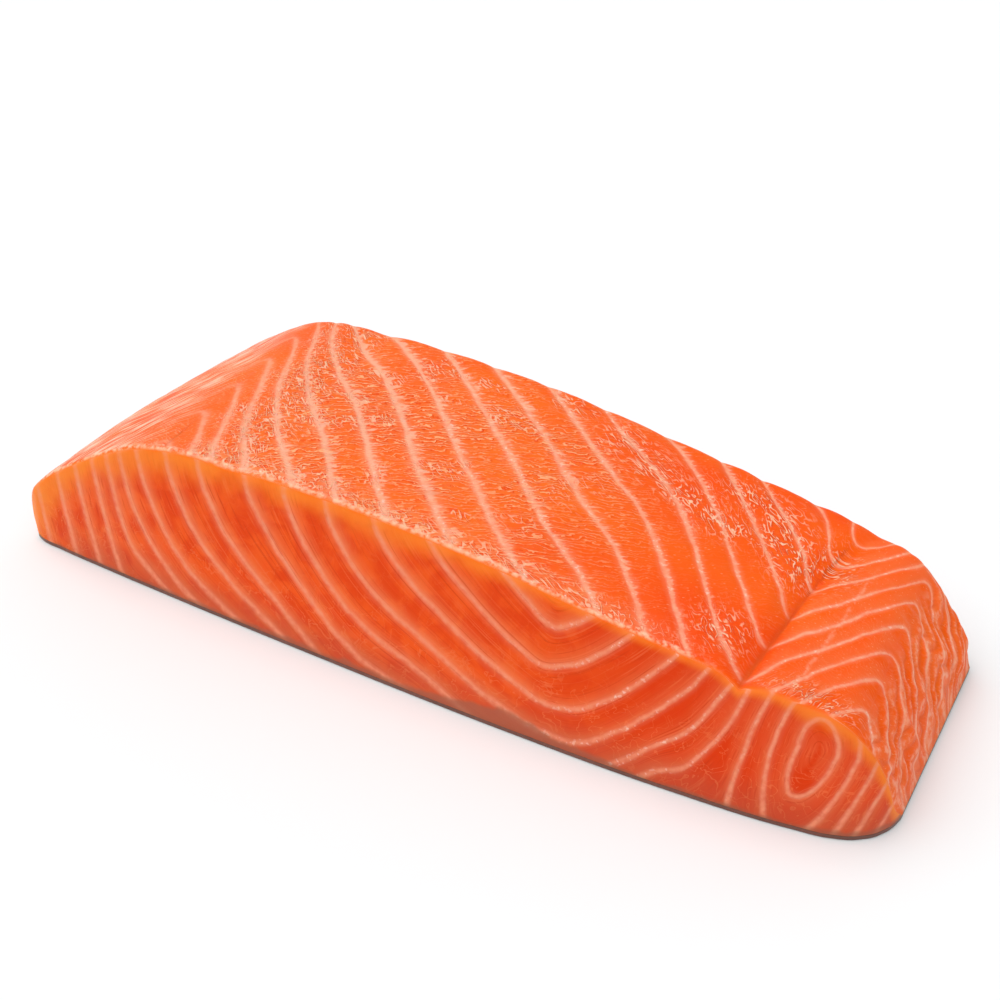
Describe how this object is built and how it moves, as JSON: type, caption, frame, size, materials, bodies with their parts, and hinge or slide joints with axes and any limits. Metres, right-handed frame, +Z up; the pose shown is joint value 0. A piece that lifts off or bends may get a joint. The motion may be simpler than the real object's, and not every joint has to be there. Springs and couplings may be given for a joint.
{
  "type": "raw salmon fillet",
  "caption": "Thick raw salmon fillet portion with upright cut faces, a sloping belly side and a rounded back edge, lying flat on its skin.",
  "frame": {"origin": "middle of the underside of the skin, on the surface that the fillet lies on", "axes": "+X runs along the cut from the thin belly edge to the thick back edge, +Y runs along the fish from the front cut to the rear cut, +Z is up"},
  "size_m": [0.2048, 0.08, 0.0406],
  "materials": {
    "flesh": "raw orange-pink salmon flesh with pale lines of connective tissue, moist",
    "skin": "silver-grey scaled fish skin, moist"
  },
  "bodies": {
    "root": {"flesh": "flesh", "skin": "skin"}
  },
  "joints": []
}
